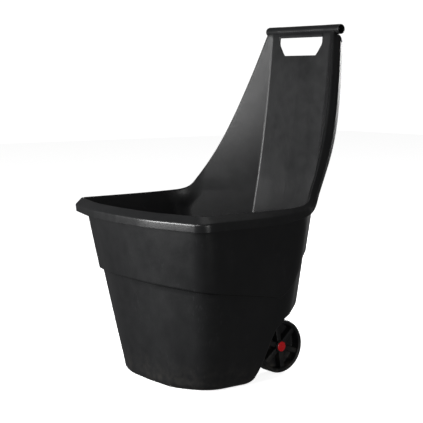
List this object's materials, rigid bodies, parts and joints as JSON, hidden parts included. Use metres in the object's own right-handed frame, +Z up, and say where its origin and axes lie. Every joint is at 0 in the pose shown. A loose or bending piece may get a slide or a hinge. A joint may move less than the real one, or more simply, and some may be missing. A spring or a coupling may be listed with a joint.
{
  "type": "garden cart",
  "caption": "One-piece plastic bucket cart with a tall scooped back that ends in a grip tube over a hand hole, rolling on small spoked wheels on a steel axle.",
  "frame": {"origin": "on the floor, under the centre of the cart's bounding box", "axes": "+X is the cart's right side, +Y is the rear with the handle, +Z is up; YZ is the mirror plane"},
  "size_m": [0.5444, 0.5873, 0.84],
  "materials": {
    "tub_plastic": "fine moulded grain, satin",
    "wheel_plastic": "moulded satin",
    "cap_plastic": "smooth satin gloss",
    "axle_steel": "bright zinc plated",
    "spring_steel": "oiled spring steel"
  },
  "bodies": {
    "tub": {"tub": "tub_plastic"},
    "axle": {"axle": "axle_steel", "washers_inner": "axle_steel", "washers_outer": "axle_steel", "push_nut_left": "spring_steel", "push_nut_right": "spring_steel"},
    "wheel_left": {"wheel_left": "wheel_plastic", "hub_cap_left": "cap_plastic"},
    "wheel_right": {"wheel_right": "wheel_plastic", "hub_cap_right": "cap_plastic"}
  },
  "joints": [
    {"name": "axle_spin", "type": "hinge", "parent": "tub", "child": "axle", "pos_m": [0, 0.0949, 0.065], "axis": [1, 0, 0], "continuous": true},
    {"name": "wheel_left_spin", "type": "hinge", "parent": "axle", "child": "wheel_left", "pos_m": [-0.1135, 0.0949, 0.065], "axis": [1, 0, 0], "continuous": true},
    {"name": "wheel_right_spin", "type": "hinge", "parent": "axle", "child": "wheel_right", "pos_m": [0.1135, 0.0949, 0.065], "axis": [1, 0, 0], "continuous": true}
  ]
}
